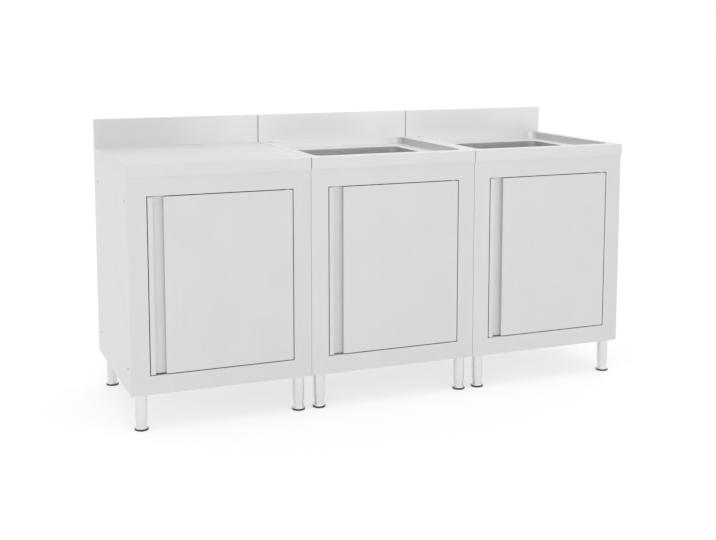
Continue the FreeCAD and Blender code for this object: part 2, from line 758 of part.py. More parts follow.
def shelf():
    """The left cabinet's shelf with its edges turned down, and the four studs that carry it."""
    block = box("shelf_block", 0, 0, 0, "shelf_wide", "shelf_deep", "shelf_edge")
    hollow = box("shelf_hollow", "panel_sheet", "panel_sheet", "-cut_over", "shelf_wide - 2 * panel_sheet",
                 "shelf_deep - 2 * panel_sheet", "shelf_edge - panel_sheet + cut_over")
    board = cut("shelf_board", block, [hollow])
    finish("left_shelf", place(board, "row_left + 2 * panel_sheet + shelf_side_gap",
                               "body_front + shelf_front", "shelf_level - shelf_edge"))
    stud = turned("shelf_stud", [
        (0, 0), ("shelf_pin_collar", 0), ("shelf_pin_collar", "shelf_pin_collar_wide"),
        ("shelf_pin_radius", "shelf_pin_collar_wide"), ("shelf_pin_radius", "shelf_pin_length - chamfer"),
        ("shelf_pin_radius - chamfer", "shelf_pin_length"), (0, "shelf_pin_length"),
    ])
    level = "shelf_level - shelf_edge - shelf_pin_collar"
    rows = ("body_front + frame_side_return + shelf_pin_inset",
            "body_front + body_depth - back_return - shelf_pin_inset")
    studs = [
        copy_of(stud, f"shelf_stud_{number}_{hand}", x, y, level, axis=(0, 1, 0), turn=turn)
        for number, y in enumerate(rows)
        for hand, x, turn in (("left", "row_left + panel_sheet", 90),
                              ("right", "row_left + unit_width - panel_sheet", -90))
    ]
    finish("shelf_studs", group("shelf_studs", studs))


# Doors

def door_skin(unit, index):
    """The outer sheet: a lip at the free edge, the pull groove behind it, the face and the end returns."""
    name = unit + "_door_skin"
    body = new_body(name + "_body")
    gauge = "panel_sheet"
    plan = outline(body, name + "_plan", [
        (0, 0), ("lip_width", 0), ("lip_width", "lip_thickness"), (gauge, "lip_thickness"),
        (gauge, "groove_depth"), ("groove_right", "groove_depth"), ("groove_right", 0),
        ("door_wide", 0), ("door_wide", "skin_depth"), (f"door_wide - {gauge}", "skin_depth"),
        (f"door_wide - {gauge}", gauge), (f"groove_right + {gauge}", gauge),
        (f"groove_right + {gauge}", f"groove_depth + {gauge}"), (gauge, f"groove_depth + {gauge}"),
        (gauge, "skin_depth"), (0, "skin_depth"),
    ])
    pad(body, plan, "door_high")
    for end, level in (("bottom", 0), ("top", "door_high - panel_sheet")):
        cap = rectangle(body, f"{name}_{end}_cap", "groove_right", 0, "door_wide", "skin_depth", level=level)
        pad(body, cap, gauge)
    hole = circle(body, name + "_bush_holes", "door_hinge_x", "hinge_setback", "bush_radius",
                  level="door_high + cut_over")
    body.Tip = pocket(body, hole, "door_high + 2 * cut_over")
    finish(name, place(body, f"{unit_x(index)} + door_left", "body_front", "door_bottom"))


def door_liner(unit, index):
    """The door's back: a flat sheet with a shallow pressed field."""
    name = unit + "_door_liner"
    body = new_body(name + "_body")
    sheet_outline = rectangle(body, name + "_plate", 0, "skin_depth", "door_wide", "door_depth")
    pad(body, sheet_outline, "door_high")
    field = rectangle(body, name + "_field", "field_left", "skin_depth - liner_field_depth",
                      "field_right", "skin_depth", level="liner_field_margin")
    pad(body, field, "field_high")
    hollow = rectangle(body, name + "_field_hollow", "field_left + panel_sheet",
                       "skin_depth - liner_field_depth + panel_sheet", "field_right - panel_sheet",
                       "door_depth + cut_over", level="liner_field_margin + panel_sheet")
    body.Tip = pocket(body, hollow, "field_high - 2 * panel_sheet", upward=True)
    finish(name, place(body, f"{unit_x(index)} + door_left", "body_front", "door_bottom"))


def hinges():
    """Pivot hinges: a bracket and a pin over and under each doorway, and flanged bushes in the doors."""
    plate = box("hinge_bracket_plate", "-bracket_left", "-bracket_front", 0, "bracket_left + bracket_right",
                "bracket_deep", "bracket_sheet")
    bracket = cut("hinge_bracket", plate, [
        rod("hinge_bracket_hole", 0, 0, "-cut_over", "bush_bore", "bracket_sheet + 2 * cut_over")])
    head, head_top = "hinge_pin_radius + hinge_head_wide", "pin_length + hinge_head_height"
    pin = turned("hinge_pin", [
        (0, 0), ("hinge_pin_radius - chamfer", 0), ("hinge_pin_radius", "chamfer"),
        ("hinge_pin_radius", "pin_length"), (head, "pin_length"), (head, head_top), (0, head_top),
    ])
    flange = "bush_radius + bush_flange_wide"
    bush = turned("door_bush", [
        ("bush_bore", "-bush_height"), ("bush_radius", "-bush_height"), ("bush_radius", 0), (flange, 0),
        (flange, "bush_flange_height"), ("bush_bore", "bush_flange_height"),
    ])
    brackets, pins = [], []
    for index, unit in enumerate(UNITS):
        x = f"{unit_x(index)} + hinge_x"
        brackets.append(copy_of(bracket, unit + "_top_bracket", x, "hinge_y", "opening_top + panel_sheet"))
        brackets.append(copy_of(bracket, unit + "_bottom_bracket", x, "hinge_y",
                                "opening_bottom - panel_sheet - bracket_sheet"))
        pins.append(copy_of(pin, unit + "_top_pin", x, "hinge_y",
                            "opening_top - door_gap - hinge_pin_reach"))
        pins.append(copy_of(pin, unit + "_bottom_pin", x, "hinge_y",
                            "opening_bottom + door_gap + hinge_pin_reach", axis=(1, 0, 0), turn=180))
        finish(unit + "_door_bushes", group(unit + "_door_bushes", [
            copy_of(bush, unit + "_top_bush", x, "hinge_y", "door_bottom + door_high"),
            copy_of(bush, unit + "_bottom_bush", x, "hinge_y", "door_bottom", axis=(1, 0, 0), turn=180)]))
    finish("hinge_brackets", group("hinge_brackets", brackets))
    finish("hinge_pins", group("hinge_pins", pins))


def magnetic_catches():
    """A magnet housing under each doorway's top return, and a strike plate on each door's back."""
    housing = box("catch_housing", 0, 0, 0, "catch_wide", "catch_deep", "catch_high")
    poles = [
        box(f"catch_pole_{number}", "catch_pole_inset", "-catch_pole_proud",
            f"catch_pole_level + {number} * catch_pole_pitch", "catch_wide - 2 * catch_pole_inset",
            "catch_deep", "catch_pole_sheet")
        for number in range(2)
    ]
    catch = fuse("catch_master", [housing] + poles)
    catches = []
    for index, unit in enumerate(UNITS):
        strike_x = f"{unit_x(index)} + door_left + strike_inset"
        strike_y = "body_front + door_depth"
        strike_z = "door_bottom + door_high - strike_drop - strike_high"
        strike = box(unit + "_strike_plate", strike_x, strike_y, strike_z, "strike_wide", "strike_sheet",
                     "strike_high")
        finish(unit + "_door_strike", strike)
        catches.append(copy_of(catch, unit + "_catch", f"{strike_x} + (strike_wide - catch_wide) / 2",
                               f"{strike_y} + strike_sheet + catch_gap + catch_pole_proud",
                               "opening_top - catch_high"))
    finish("door_catches", group("door_catches", catches))


# Legs and feet

def legs_and_feet():
    """Twelve welded legs with threaded inserts, and a screw foot in each."""
    leg = turned("leg_master", [
        ("leg_inner", "foot_shows"), ("leg_tip_radius", "foot_shows"),
        ("leg_radius", "foot_shows + leg_shoulder"), ("leg_radius", "plate_under"),
        ("leg_plate_radius", "plate_under"), ("leg_plate_radius", "leg_length"), (0, "leg_length"),
        (0, "plate_under"), ("leg_inner", "plate_under"),
    ])
    bore, insert_top = "foot_stem_radius + thread_fit", "insert_level + insert_height"
    insert = turned("insert_master", [
        (bore, "insert_level"), ("leg_inner", "insert_level"), ("leg_inner", insert_top), (bore, insert_top),
    ])
    sleeve = turned("foot_sleeve", [
        ("foot_bore", "foot_base_height"), ("foot_flare_radius", "foot_base_height"),
        ("foot_radius", "foot_base_height + foot_flare_height"), ("foot_radius", "foot_top"),
        ("foot_bore", "foot_top"),
    ])
    base = turned("foot_base", [
        (0, 0), ("foot_base_radius - chamfer", 0), ("foot_base_radius", "chamfer"),
        ("foot_base_radius", "foot_base_height - chamfer"),
        ("foot_base_radius - chamfer", "foot_base_height"), ("foot_stem_radius", "foot_base_height"),
        ("foot_stem_radius", "foot_stem_top - chamfer"), ("foot_stem_radius - chamfer", "foot_stem_top"),
        (0, "foot_stem_top"),
    ])
    sides = {"left": "leg_side_inset", "right": "unit_width - leg_side_inset"}
    rows = {"front": "body_front + leg_front_inset", "back": "body_front + body_depth - leg_back_inset"}
    legs, inserts = [], []
    for index, unit in enumerate(UNITS):
        for row, y in rows.items():
            for side, inset in sides.items():
                x = f"{unit_x(index)} + {inset}"
                spot = f"{unit}_{row}_{side}"
                legs.append(copy_of(leg, spot + "_leg", x, y, 0))
                inserts.append(copy_of(insert, spot + "_insert", x, y, 0))
                finish(spot + "_foot", group(spot + "_foot", [
                    copy_of(sleeve, spot + "_sleeve", x, y, 0), copy_of(base, spot + "_base", x, y, 0)]))
    finish("leg_tubes", group("leg_tubes", legs))
    finish("leg_inserts", group("leg_inserts", inserts))


# Fasteners

def fasteners():
    """Screws in the row's two outer sides, and bolts with nuts through the two seams."""
    screw = turned("screw_master", [
        (0, "-screw_head_height"), ("screw_head_radius - screw_head_bevel", "-screw_head_height"),
        ("screw_head_radius", "-screw_head_rim"), ("screw_head_radius", 0), ("screw_radius", 0),
        ("screw_radius", "screw_length"), (0, "screw_length"),
    ])
    bolt_end = "seam_stack + bolt_nut_height + bolt_tail"
    bolt = turned("bolt_master", [
        (0, "-bolt_head_height"), ("screw_head_radius", "-bolt_head_height"), ("screw_head_radius", 0),
        ("screw_radius", 0), ("screw_radius", bolt_end), (0, bolt_end),
    ])
    nut = nut_body("bolt_nut", 6, "bolt_nut_radius", "bolt_nut_height", "screw_radius")
    spots = [
        (f"{row}_{column}", f"body_front + {y}", f"leg_length + {z}")
        for row, z in (("low", "screw_low"), ("high", "top_screw"))
        for column, y in (("front", "front_screw"), ("back", "back_screw"))
    ]
    screws, bolts = [], []
    for spot, y, z in spots:
        screws.append(copy_of(screw, f"screw_left_{spot}", "row_left", y, z, axis=(0, 1, 0), turn=90))
        screws.append(copy_of(screw, f"screw_right_{spot}", "-row_left", y, z, axis=(0, 1, 0), turn=-90))
        for seam in (1, 2):
            inside = f"row_left + {seam} * unit_pitch - seam_gap - 2 * panel_sheet"
            bolts.append(copy_of(bolt, f"bolt_{seam}_{spot}", inside, y, z, axis=(0, 1, 0), turn=90))
            bolts.append(copy_of(nut, f"nut_{seam}_{spot}", f"{inside} + seam_stack", y, z,
                                 axis=(0, 1, 0), turn=90))
    finish("side_screws", group("side_screws", screws))
    finish("joining_bolts", group("joining_bolts", bolts))


def build():
    for index, unit in enumerate(UNITS):
        worktop(unit, index)
        face_frame(unit, index)
        side_panel(unit, index, "left")
        side_panel(unit, index, "right")
        back_panel(unit, index)
        base_panel(unit, index)
        door_skin(unit, index)
        door_liner(unit, index)
        if unit in SINK_UNITS:
            sink_bowl(unit, index)
    worktop_stiffeners()
    waste_sets()
    shelf()
    hinges()
    magnetic_catches()
    legs_and_feet()
    fasteners()
    doc.recompute()


def export():
    """Writes the parts only when every object in the document is sound."""
    for thing in doc.Objects:
        if "Invalid" in thing.State or "Error" in thing.State:
            raise RuntimeError(f"{thing.Name} is {thing.State}")
    for part in PARTS:
        if part.Shape.isNull() or not part.Shape.isValid() or not part.Shape.Solids:
            raise RuntimeError(f"{part.Label} has no sound shape")
    os.makedirs("parts", exist_ok=True)
    for part in PARTS:
        part.Shape.exportStep(f"parts/{part.Label}.step")
    print(f"{len(PARTS)} parts")


fill_sheet()
build()
export()
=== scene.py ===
import math

import bmesh
import bpy
from bpy.props import FloatProperty, FloatVectorProperty, PointerProperty
from mathutils import Matrix, Vector


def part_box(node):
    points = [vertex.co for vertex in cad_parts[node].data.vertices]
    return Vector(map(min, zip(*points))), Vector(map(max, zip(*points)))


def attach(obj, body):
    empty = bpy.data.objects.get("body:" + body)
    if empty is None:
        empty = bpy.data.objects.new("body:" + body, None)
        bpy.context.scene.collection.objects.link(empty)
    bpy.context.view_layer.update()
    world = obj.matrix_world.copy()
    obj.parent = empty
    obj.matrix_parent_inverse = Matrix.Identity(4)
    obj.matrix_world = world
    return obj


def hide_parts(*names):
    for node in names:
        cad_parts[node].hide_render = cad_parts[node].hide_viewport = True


bl_info = {
    "name": "Stainless steel kitchen row",
    "version": (1, 0, 0),
    "blender": (4, 5, 0),
    "location": "View3D > Sidebar > Kitchen row",
    "description": "Finishes, feet, screws and studio for a row of one work cabinet and two sink cabinets",
    "category": "Object",
}

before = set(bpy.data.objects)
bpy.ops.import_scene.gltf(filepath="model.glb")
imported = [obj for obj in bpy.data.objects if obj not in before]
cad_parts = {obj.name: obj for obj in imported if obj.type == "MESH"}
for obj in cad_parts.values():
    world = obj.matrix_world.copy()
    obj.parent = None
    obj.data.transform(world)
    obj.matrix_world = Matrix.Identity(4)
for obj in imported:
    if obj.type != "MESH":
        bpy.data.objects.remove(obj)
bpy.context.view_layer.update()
MM = 0.001
UNITS = ("left", "middle", "right")
SINKS = ("middle", "right")
PITCH = 0.6  # from one cabinet to the next
ROW_LEFT = -1.5 * PITCH
TOUCH = 0.002 * MM  # points closer than this are one point
SCREW_REACH = 12 * MM  # points of one screw's head are closer together than this
# Each softbox: its name, the setting that holds its power, its place, the point it faces, and its size.
SOFTBOXES = (
    ("top_softbox", "top_light", (-1.0, -1.2, 3.4), (0, 0, 0.8), (3.0, 2.0)),
    ("front_softbox", "front_light", (1.6, -4.6, 1.9), (0, 0, 0.8), (5.0, 1.6)),
    ("strip_softbox", "strip_light", (0.44, -0.34, 1.18), (0.44, 0.29, 0.94), (1.5, 0.2)),
)


def linear(code):
    """A colour written as sRGB hex, turned to the linear values that a shader takes."""
    parts = (int(code[i:i + 2], 16) / 255 for i in (1, 3, 5))
    return tuple(v / 12.92 if v <= 0.04045 else ((v + 0.055) / 1.055) ** 2.4 for v in parts)


def add(tree, kind, inputs=None, **settings):
    """One node in a tree, with its settings; an input takes a value or another node's socket."""
    made = tree.nodes.new(kind)
    for name, value in settings.items():
        setattr(made, name, value)
    for name, value in (inputs or {}).items():
        if isinstance(value, bpy.types.NodeSocket):
            tree.links.new(value, made.inputs[name])
        else:
            made.inputs[name].default_value = value
    return made


# ---------------------------------------------------------------- settings

class KitchenRowFinish(bpy.types.PropertyGroup):
    """Colours and gloss of the row's materials."""

    sheet_colour: FloatVectorProperty(
        name="Sheet", description="Brushed stainless sheet of tops, doors and cabinets",
        subtype="COLOR", size=3, min=0, max=1, default=linear("#DBDBDB"))
    bowl_colour: FloatVectorProperty(
        name="Bowl", description="Pressed and satin polished bowls",
        subtype="COLOR", size=3, min=0, max=1, default=linear("#E2E2E2"))
    tube_colour: FloatVectorProperty(
        name="Leg tube", description="Drawn stainless tube of the legs and foot sleeves",
        subtype="COLOR", size=3, min=0, max=1, default=linear("#E0E0E0"))
    fastener_colour: FloatVectorProperty(
        name="Fasteners", description="Bright zinc plated screws, bolts and pins",
        subtype="COLOR", size=3, min=0, max=1, default=linear("#BFC0C2"))
    nylon_colour: FloatVectorProperty(
        name="Foot nylon", description="Moulded nylon under the screw feet",
        subtype="COLOR", size=3, min=0, max=1, default=linear("#2B2B2C"))
    grain_width: FloatProperty(
        name="Grain width", description="Width of one brush line across the grain",
        unit="LENGTH", min=0.0002, max=0.02, default=2.2 * MM)
    grain_length: FloatProperty(
        name="Grain length", description="Length of one brush line",
        unit="LENGTH", min=0.01, max=2, default=280 * MM)
    sheet_roughness: FloatProperty(
        name="Sheet roughness", description="Blur of reflections in the brushed sheet",
        subtype="FACTOR", min=0, max=1, default=0.5)
    sheet_grain: FloatProperty(
        name="Sheet grain", description="How much more reflections blur across the brushing than along it",
        subtype="FACTOR", min=0, max=1, default=0.55)


class KitchenRowFoot(bpy.types.PropertyGroup):
    """Sizes of one screw foot."""

    base_radius: FloatProperty(
        name="Base radius", description="Radius of the nylon base", unit="LENGTH", default=22.0 * MM)
    base_height: FloatProperty(
        name="Base height", description="Height of the nylon base", unit="LENGTH", default=6.0 * MM)
    sleeve_radius: FloatProperty(
        name="Sleeve radius", description="Radius of the steel sleeve", unit="LENGTH", default=16.9 * MM)
    sleeve_wall: FloatProperty(
        name="Sleeve wall", description="Wall of the steel sleeve", unit="LENGTH", default=1.5 * MM)
    sleeve_top: FloatProperty(
        name="Sleeve top", description="Level of the sleeve's upper end", unit="LENGTH", default=60.0 * MM)
    flare_radius: FloatProperty(
        name="Flare radius", description="Radius of the sleeve's flared lower end",
        unit="LENGTH", default=20.5 * MM)
    flare_height: FloatProperty(
        name="Flare height", description="Height over which the sleeve flares",
        unit="LENGTH", default=9.0 * MM)
    stem_radius: FloatProperty(
        name="Stem radius", description="Radius of the threaded stem", unit="LENGTH", default=6.0 * MM)
    stem_top: FloatProperty(
        name="Stem top", description="Level of the stem's upper end", unit="LENGTH", default=104.0 * MM)
    stem_chamfer: FloatProperty(
        name="Stem chamfer", description="Chamfer of the stem's upper end", unit="LENGTH", default=1.0 * MM)
    lip_height: FloatProperty(
        name="Lip", description="Height of the flare's upright lower lip", unit="LENGTH", default=0.6 * MM)
    edge_chamfer: FloatProperty(
        name="Sleeve edge", description="Chamfer of the sleeve's upper edge", unit="LENGTH", default=0.4 * MM)
    rim_radius: FloatProperty(
        name="Rim", description="Rounding of the nylon base's rim", unit="LENGTH", default=1.4 * MM)
    hollow_depth: FloatProperty(
        name="Hollow", description="Depth of the hollow under the base", unit="LENGTH", default=0.8 * MM)
    hollow_inner: FloatProperty(
        name="Hollow floor", description="Radius of the hollow's flat middle, as a share of the base's",
        subtype="FACTOR", min=0, max=1, default=0.55)
    hollow_outer: FloatProperty(
        name="Hollow edge", description="Radius of the hollow's edge, as a share of the base's",
        subtype="FACTOR", min=0, max=1, default=0.62)


class KitchenRowScrew(bpy.types.PropertyGroup):
    """Sizes of one pan-head screw in the row's outer sides."""

    head_radius: FloatProperty(
        name="Head radius", description="Radius of the pan head", unit="LENGTH", default=4.5 * MM)
    head_height: FloatProperty(
        name="Head height", description="Height of the pan head", unit="LENGTH", default=2.2 * MM)
    shank_radius: FloatProperty(
        name="Shank radius", description="Radius of the screw's shank", unit="LENGTH", default=2.5 * MM)
    shank_length: FloatProperty(
        name="Shank length", description="Length of the shank under the head", unit="LENGTH", default=9.0 * MM)
    shank_chamfer: FloatProperty(
        name="Shank chamfer", description="Chamfer of the shank's end", unit="LENGTH", default=1.0 * MM)
    crown: FloatProperty(
        name="Crown", description="Radius of the head's flat top, as a share of the head's",
        subtype="FACTOR", min=0, max=1, default=0.62)
    shoulder: FloatProperty(
        name="Shoulder", description="Share of the head's height that its round shoulder takes",
        subtype="FACTOR", min=0, max=1, default=0.75)
    cross_depth: FloatProperty(
        name="Cross depth", description="Depth of the cross recess, as a share of the head's height",
        subtype="FACTOR", min=0, max=1, default=0.6)
    cross_taper: FloatProperty(
        name="Cross taper", description="Size of the cross recess's floor, as a share of its mouth's",
        subtype="FACTOR", min=0, max=1, default=0.7)
    cross_width: FloatProperty(
        name="Cross width", description="Width of the cross recess's arms", unit="LENGTH", default=1.0 * MM)
    cross_reach: FloatProperty(
        name="Cross reach", description="Reach of the cross recess's arms", unit="LENGTH", default=2.4 * MM)


class KitchenRowStudio(bpy.types.PropertyGroup):
    """Camera and light."""

    camera_place: FloatVectorProperty(
        name="Camera", description="Where the camera stands", subtype="TRANSLATION", unit="LENGTH",
        size=3, default=(-1.5564, -3.7698, 1.2506))
    camera_yaw: FloatProperty(
        name="Yaw", description="Turn of the camera to the right of the wall's normal",
        subtype="ANGLE", default=math.radians(22.233))
    camera_pitch: FloatProperty(
        name="Pitch", description="Tilt of the camera below level",
        subtype="ANGLE", default=math.radians(6.818))
    camera_lens: FloatProperty(
        name="Lens", description="Focal length on a 36 mm frame", unit="CAMERA", default=57.548)
    camera_shift: FloatProperty(
        name="Shift", description="Upward shift of the lens, as a share of the frame's width",
        subtype="FACTOR", default=-0.14)
    sky: FloatProperty(
        name="Surround", description="Brightness of the white tent round the set", min=0, default=1.0)
    top_light: FloatProperty(
        name="Top light", description="Power of the softbox over the set", unit="POWER", default=7.0)
    front_light: FloatProperty(
        name="Front light", description="Power of the long softbox in front of the set",
        unit="POWER", default=7.0)
    strip_light: FloatProperty(
        name="Strip light", description="Power of the strip softbox that lights the splashback",
        unit="POWER", default=1.75)
    floor_glow: FloatProperty(
        name="Floor glow", description="Light that comes up through the acrylic floor", min=0, default=0.55)


# --------------------------------------------------------------- materials

def blank(name):
    """A new material with an empty tree, its surface shader and its object coordinates."""
    material = bpy.data.materials.new(name)
    material.use_nodes = True
    tree = material.node_tree
    tree.nodes.clear()
    shader = add(tree, "ShaderNodeBsdfPrincipled")
    add(tree, "ShaderNodeOutputMaterial", {"Surface": shader.outputs["BSDF"]})
    coords = add(tree, "ShaderNodeTexCoord").outputs["Object"]
    return material, tree, shader, coords


def brushed_sheet(name, upright):
    """Stainless sheet, belt brushed along one direction: long fine lines of slightly different gloss,
    a painted shade that darkens the colour from left to right over each cabinet, and faint cloudy wipe marks."""
    look = bpy.context.scene.kitchen_row_finish
    material, tree, shader, coords = blank(name)
    across, along = 1 / look.grain_width, 1 / look.grain_length
    # The real lines are about 0.1 mm wide; they are drawn some 2 mm wide, so that they show.
    lines = add(tree, "ShaderNodeMapping", {
        "Vector": coords,
        "Scale": (across, across, along) if upright else (along, across, across)}).outputs[0]
    fine = add(tree, "ShaderNodeTexNoise", {
        "Vector": lines, "Scale": 1.0, "Detail": 3.0, "Roughness": 0.6}).outputs["Fac"]
    bands = add(tree, "ShaderNodeTexNoise", {
        "Vector": lines, "Scale": 0.12, "Detail": 2.0, "Roughness": 0.5}).outputs["Fac"]
    wipes = add(tree, "ShaderNodeTexNoise", {
        "Vector": coords, "Scale": 1 / (140 * MM), "Detail": 3.0, "Roughness": 0.55}).outputs["Fac"]
    # The painted shade starts again at each seam: each cabinet's sheet is drawn lighter at its left and darker
    # towards its right.
    x = add(tree, "ShaderNodeSeparateXYZ", {0: coords}).outputs["X"]
    from_left = add(tree, "ShaderNodeMath", {0: x, 1: -ROW_LEFT}, operation="ADD").outputs[0]
    cabinets = add(tree, "ShaderNodeMath", {0: from_left, 1: PITCH}, operation="DIVIDE").outputs[0]
    share = add(tree, "ShaderNodeMath", {0: cabinets}, operation="FRACT").outputs[0]
    # Painted shade: the colour is 1.2 % lighter at a cabinet's left edge and 1 % darker at its right edge.
    painted_shade_fade = add(tree, "ShaderNodeMapRange", {
        "Value": share, "From Min": 0.0, "From Max": 1.0, "To Min": 1.012, "To Max": 0.99}).outputs[0]
    speck = add(tree, "ShaderNodeMapRange", {
        "Value": fine, "From Min": 0.25, "From Max": 0.75, "To Min": 0.99, "To Max": 1.008}).outputs[0]
    band = add(tree, "ShaderNodeMapRange", {
        "Value": bands, "From Min": 0.3, "From Max": 0.7, "To Min": 0.994, "To Max": 1.005}).outputs[0]
    # The tone is the painted shade times the grain's real specks and bands.
    tone = add(tree, "ShaderNodeMath", {0: painted_shade_fade, 1: speck}, operation="MULTIPLY").outputs[0]
    tone = add(tree, "ShaderNodeMath", {0: tone, 1: band}, operation="MULTIPLY").outputs[0]
    colour = add(tree, "ShaderNodeVectorMath", {
        0: tuple(look.sheet_colour), "Scale": tone}, operation="SCALE").outputs[0]
    gloss = add(tree, "ShaderNodeMapRange", {
        "Value": fine, "From Min": 0.2, "From Max": 0.8,
        "To Min": look.sheet_roughness - 0.05, "To Max": look.sheet_roughness + 0.05}).outputs[0]
    smear = add(tree, "ShaderNodeMapRange", {
        "Value": wipes, "From Min": 0.35, "From Max": 0.7, "To Min": -0.02, "To Max": 0.04}).outputs[0]
    gloss = add(tree, "ShaderNodeMath", {0: gloss, 1: smear}, operation="ADD").outputs[0]
    bump = add(tree, "ShaderNodeBump", {
        "Strength": 0.25, "Distance": 0.02 * MM, "Height": fine}).outputs[0]
    tree.links.new(colour, shader.inputs["Base Color"])
    tree.links.new(gloss, shader.inputs["Roughness"])
    tree.links.new(bump, shader.inputs["Normal"])
    # A direction across the grain on every face that shows: reflections blur that way.
    across_grain = add(tree, "ShaderNodeCombineXYZ", {
        "X": float(upright), "Y": 1.0, "Z": float(not upright)}).outputs[0]
    tree.links.new(across_grain, shader.inputs["Tangent"])
    shader.inputs["Anisotropic"].default_value = look.sheet_grain
    shader.inputs["Metallic"].default_value = 1.0
    return material


def satin_steel(name, colour, roughness, grit):
    """Stainless steel, pressed or drawn and then satin polished: even, greyer than the brushed sheet,
    with short faint marks of the polishing pad."""
    material, tree, shader, coords = blank(name)
    marks = add(tree, "ShaderNodeTexNoise", {
        "Vector": coords, "Scale": 1 / grit, "Detail": 4.0, "Roughness": 0.65,
        "Distortion": 0.4}).outputs["Fac"]
    cloud = add(tree, "ShaderNodeTexNoise", {
        "Vector": coords, "Scale": 1 / (60 * MM), "Detail": 2.0}).outputs["Fac"]
    tone = add(tree, "ShaderNodeMapRange", {
        "Value": cloud, "From Min": 0.3, "From Max": 0.7, "To Min": 0.97, "To Max": 1.02}).outputs[0]
    shade = add(tree, "ShaderNodeVectorMath", {0: tuple(colour), "Scale": tone}, operation="SCALE").outputs[0]
    gloss = add(tree, "ShaderNodeMapRange", {
        "Value": marks, "From Min": 0.25, "From Max": 0.75,
        "To Min": roughness - 0.05, "To Max": roughness + 0.06}).outputs[0]
    bump = add(tree, "ShaderNodeBump", {
        "Strength": 0.15, "Distance": 0.02 * MM, "Height": marks}).outputs[0]
    tree.links.new(shade, shader.inputs["Base Color"])
    tree.links.new(gloss, shader.inputs["Roughness"])
    tree.links.new(bump, shader.inputs["Normal"])
    shader.inputs["Metallic"].default_value = 1.0
    return material


def zinc_plate(name):
    """Steel with bright zinc plating: cool grey, with the fine crystalline mottling of the bath."""
    look = bpy.context.scene.kitchen_row_finish
    material, tree, shader, coords = blank(name)
    cells = add(tree, "ShaderNodeTexVoronoi", {"Vector": coords, "Scale": 1 / (1.2 * MM)}).outputs["Color"]
    value = add(tree, "ShaderNodeSeparateColor", {0: cells}).outputs[0]
    tone = add(tree, "ShaderNodeMapRange", {"Value": value, "To Min": 0.94, "To Max": 1.05}).outputs[0]
    shade = add(tree, "ShaderNodeVectorMath", {
        0: tuple(look.fastener_colour), "Scale": tone}, operation="SCALE").outputs[0]
    gloss = add(tree, "ShaderNodeMapRange", {"Value": value, "To Min": 0.22, "To Max": 0.34}).outputs[0]
    tree.links.new(shade, shader.inputs["Base Color"])
    tree.links.new(gloss, shader.inputs["Roughness"])
    shader.inputs["Metallic"].default_value = 1.0
    return material


def moulded(name, colour, roughness, ior, grit):
    """Moulded plastic or rubber with a spark-eroded mould texture: fine dull grain, slightly uneven tone."""
    material, tree, shader, coords = blank(name)
    grain = add(tree, "ShaderNodeTexNoise", {
        "Vector": coords, "Scale": 1 / grit, "Detail": 3.0, "Roughness": 0.6}).outputs["Fac"]
    cloud = add(tree, "ShaderNodeTexNoise", {
        "Vector": coords, "Scale": 1 / (25 * MM), "Detail": 2.0}).outputs["Fac"]
    tone = add(tree, "ShaderNodeMapRange", {
        "Value": cloud, "From Min": 0.3, "From Max": 0.7, "To Min": 0.9, "To Max": 1.08}).outputs[0]
    shade = add(tree, "ShaderNodeVectorMath", {0: tuple(colour), "Scale": tone}, operation="SCALE").outputs[0]
    gloss = add(tree, "ShaderNodeMapRange", {
        "Value": grain, "From Min": 0.3, "From Max": 0.7,
        "To Min": roughness - 0.06, "To Max": roughness + 0.06}).outputs[0]
    bump = add(tree, "ShaderNodeBump", {
        "Strength": 0.3, "Distance": 0.05 * MM, "Height": grain}).outputs[0]
    tree.links.new(shade, shader.inputs["Base Color"])
    tree.links.new(gloss, shader.inputs["Roughness"])
    tree.links.new(bump, shader.inputs["Normal"])
    shader.inputs["IOR"].default_value = ior
    return material


def finishes():
    """Every material of the row by its plain name."""
    look = bpy.context.scene.kitchen_row_finish
    return {
        "brushed stainless, grain along the row": lambda name: brushed_sheet(name, upright=False),
        "brushed stainless, upright grain": lambda name: brushed_sheet(name, upright=True),
        "satin stainless bowl": lambda name: satin_steel(name, look.bowl_colour, 0.3, 1.5 * MM),
        "satin stainless tube": lambda name: satin_steel(name, look.tube_colour, 0.27, 1.2 * MM),
        "polished stainless waste": lambda name: satin_steel(name, look.tube_colour, 0.16, 0.8 * MM),
        "bright zinc plated steel": zinc_plate,
        "black nylon": lambda name: moulded(name, look.nylon_colour, 0.48, 1.53, 0.6 * MM),
        "black polypropylene": lambda name: moulded(name, linear("#262626"), 0.42, 1.49, 0.8 * MM),
        "black rubber": lambda name: moulded(name, linear("#1D1D1D"), 0.72, 1.52, 0.5 * MM),
        "natural nylon": lambda name: moulded(name, linear("#E6E4DC"), 0.4, 1.53, 0.6 * MM),
        "white acetal": lambda name: moulded(name, linear("#E2E2DF"), 0.36, 1.48, 0.7 * MM),
    }


def material(name):
    """The material of that name, made at its first use."""
    return bpy.data.materials.get(name) or finishes()[name](name)


def dress(name, *nodes):
    """Give a finish to nodes whose own shape stays."""
    for node in nodes:
        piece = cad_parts[node]
        for slot in piece.material_slots:
            slot.link = "OBJECT"
            slot.material = material(name)


# ------------------------------------------------------------ mesh helpers

def lathe(mesh, profile, centre, axis=(0, 0, 1), side=(1, 0, 0), steps=48, closed=True):
    """Turn a profile of (radius, distance along the axis) points round an axis."""
    axis, side = Vector(axis), Vector(side)
    points = [mesh.verts.new(centre + side * r + axis * h) for r, h in profile]
    pairs = zip(points, points[1:] + points[:1] if closed else points[1:])
    edges = [mesh.edges.new(pair) for pair in pairs]
    bmesh.ops.spin(mesh, geom=points + edges, cent=centre, axis=axis, dvec=(0, 0, 0),
                   angle=2 * math.pi, steps=steps, use_merge=True, use_duplicate=False)


